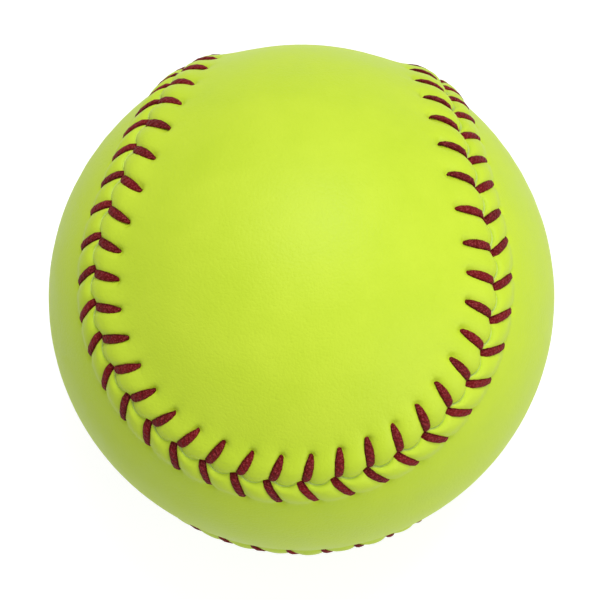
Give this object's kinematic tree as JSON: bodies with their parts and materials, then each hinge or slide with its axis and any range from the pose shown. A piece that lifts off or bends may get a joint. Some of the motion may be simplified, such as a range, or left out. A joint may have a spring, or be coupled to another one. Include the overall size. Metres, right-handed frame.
{
  "type": "softball",
  "caption": "Bright yellow-green softball: moulded core in two figure-of-eight cover panels, joined by one raised seam sewn with dark red V stitches.",
  "frame": {"origin": "the ball's centre", "axes": "+Z and -Z through the lobes of cover panel A, +X and -X through the lobes of cover panel B, +Y through the waist of panel A"},
  "size_m": [0.097, 0.097, 0.097],
  "materials": {
    "core": "moulded polyurethane, matt and slightly pebbled",
    "cover": "optic yellow-green synthetic leather, fine grain, satin",
    "thread": "waxed twisted thread, dark red"
  },
  "bodies": {
    "root": {"core": "core", "cover_panel_a": "cover", "cover_panel_b": "cover", "thread": "thread"}
  },
  "joints": []
}
